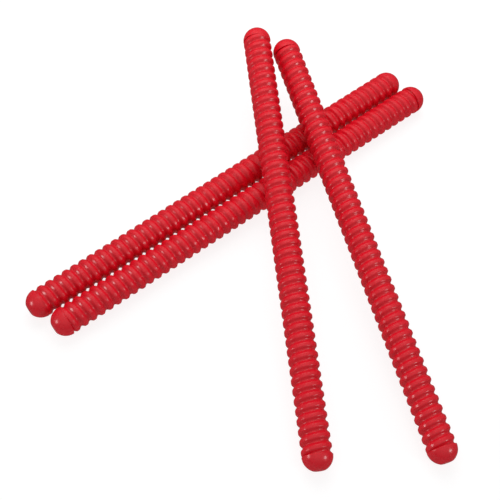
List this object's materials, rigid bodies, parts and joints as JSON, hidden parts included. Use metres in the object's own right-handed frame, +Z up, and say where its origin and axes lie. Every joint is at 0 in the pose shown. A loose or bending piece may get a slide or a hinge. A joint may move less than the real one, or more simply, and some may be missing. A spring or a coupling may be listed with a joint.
{
  "type": "ribbed rhythm sticks",
  "caption": "Ribbed plastic rhythm sticks with domed ends, two side by side and others laid across, for scraping and tapping.",
  "frame": {"origin": "on the floor under the middle of the pile", "axes": "+X along the front stick from its left tip to its right, +Z up"},
  "size_m": [0.3106, 0.3062, 0.0484],
  "materials": {
    "red_plastic": "semi-gloss moulded plastic"
  },
  "bodies": {
    "front_stick": {"front_stick_tube": "red_plastic", "front_stick_left_plug": "red_plastic", "front_stick_right_plug": "red_plastic"},
    "back_stick": {"back_stick_tube": "red_plastic", "back_stick_left_plug": "red_plastic", "back_stick_right_plug": "red_plastic"},
    "left_top_stick": {"left_top_stick_tube": "red_plastic", "left_top_stick_raised_plug": "red_plastic", "left_top_stick_floor_plug": "red_plastic"},
    "right_top_stick": {"right_top_stick_tube": "red_plastic", "right_top_stick_raised_plug": "red_plastic", "right_top_stick_floor_plug": "red_plastic"}
  },
  "joints": [
    {"name": "back_stick_scrape", "type": "slide", "parent": "front_stick", "child": "back_stick", "axis": [1, 0, 0], "range_m": [-0.12, 0.12]},
    {"name": "left_top_stick_scrape", "type": "slide", "parent": "front_stick", "child": "left_top_stick", "axis": [1, 0, 0], "range_m": [-0.13, 0]},
    {"name": "right_top_stick_scrape", "type": "slide", "parent": "front_stick", "child": "right_top_stick", "axis": [1, 0, 0], "range_m": [0, 0.07]}
  ]
}
